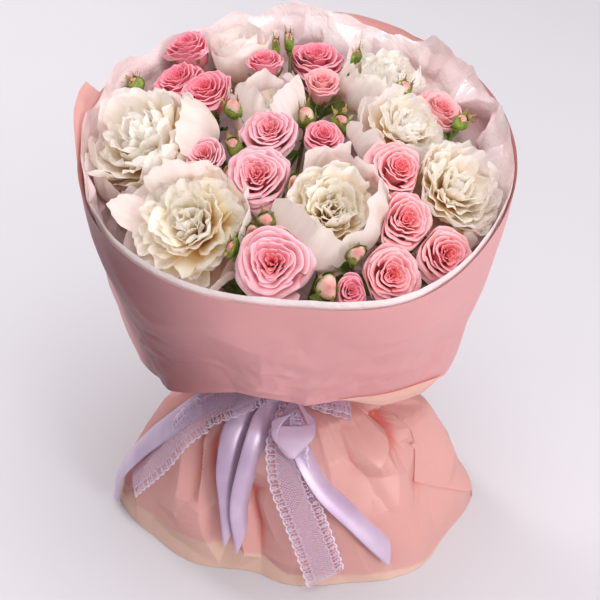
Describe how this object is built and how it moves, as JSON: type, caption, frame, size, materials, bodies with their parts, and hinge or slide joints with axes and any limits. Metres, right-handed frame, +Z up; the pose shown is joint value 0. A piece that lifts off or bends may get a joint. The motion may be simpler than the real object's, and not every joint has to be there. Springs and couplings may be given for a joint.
{
  "type": "wrapped flower bunch",
  "caption": "Hand-tied bunch of open double peonies and spray roses with buds, in a flared film and tissue wrap with a skirt, tied at the waist with satin and lace ribbon.",
  "frame": {"origin": "on the ground, at the middle of the cut end of the middle stem", "axes": "+Z up along the middle stem, -Y towards the front where the ribbons are tied and the flowers sit lower, +X to the right seen from the front"},
  "size_m": [0.3718, 0.3507, 0.4407],
  "materials": {
    "cream_petal": "soft matt petal, creamy white with a warm yellow depth",
    "coral_petal": "soft matt petal, coral pink, deeper at the edges",
    "pale_coral_petal": "soft matt petal, pale coral pink",
    "green_sepal": "leafy green with a faint bloom",
    "stem": "green bark and leaf, slightly waxy",
    "twine": "dry natural fibre",
    "tissue": "translucent crinkled tissue with a slight gloss",
    "collar_film": "dusty rose matt film",
    "salmon_film": "salmon matt film, pale where it is a single layer",
    "satin": "lilac satin with a bright sheen",
    "lace": "lilac lace with scalloped edges"
  },
  "bodies": {
    "root": {"peony_left": "cream_petal", "peony_front_left": "cream_petal", "peony_front": "cream_petal", "peony_right": "cream_petal", "peony_inner_right": "cream_petal", "peony_back_right": "cream_petal", "peony_back": "cream_petal", "peony_middle": "cream_petal", "rose_01": "coral_petal", "rose_02": "coral_petal", "rose_03": "coral_petal", "rose_04": "pale_coral_petal", "rose_05": "coral_petal", "rose_06": "pale_coral_petal", "rose_07": "coral_petal", "rose_08": "coral_petal", "rose_09": "pale_coral_petal", "rose_10": "pale_coral_petal", "rose_11": "coral_petal", "rose_12": "coral_petal", "rose_13": "coral_petal", "rose_14": "coral_petal", "rose_15": "coral_petal", "rose_16": "coral_petal", "rose_17": "pale_coral_petal", "bud_01": "green_sepal", "bud_02": "green_sepal", "bud_03": "green_sepal", "bud_04": "green_sepal", "bud_05": "green_sepal", "bud_06": "green_sepal", "bud_07": "green_sepal", "bud_08": "green_sepal", "bud_09": "green_sepal", "bud_10": "green_sepal", "bud_11": "green_sepal", "bud_12": "green_sepal", "bud_13": "green_sepal", "bud_14": "green_sepal", "bud_15": "green_sepal", "bud_16": "green_sepal", "stems": "stem", "stem_tie": "twine", "tissue_liner": "tissue", "film_collar": "collar_film", "film_back_sheet": "salmon_film", "film_skirt": "salmon_film", "film_underskirt": "salmon_film", "satin_ribbon": "satin", "lace_ribbon": "lace"}
  },
  "joints": []
}
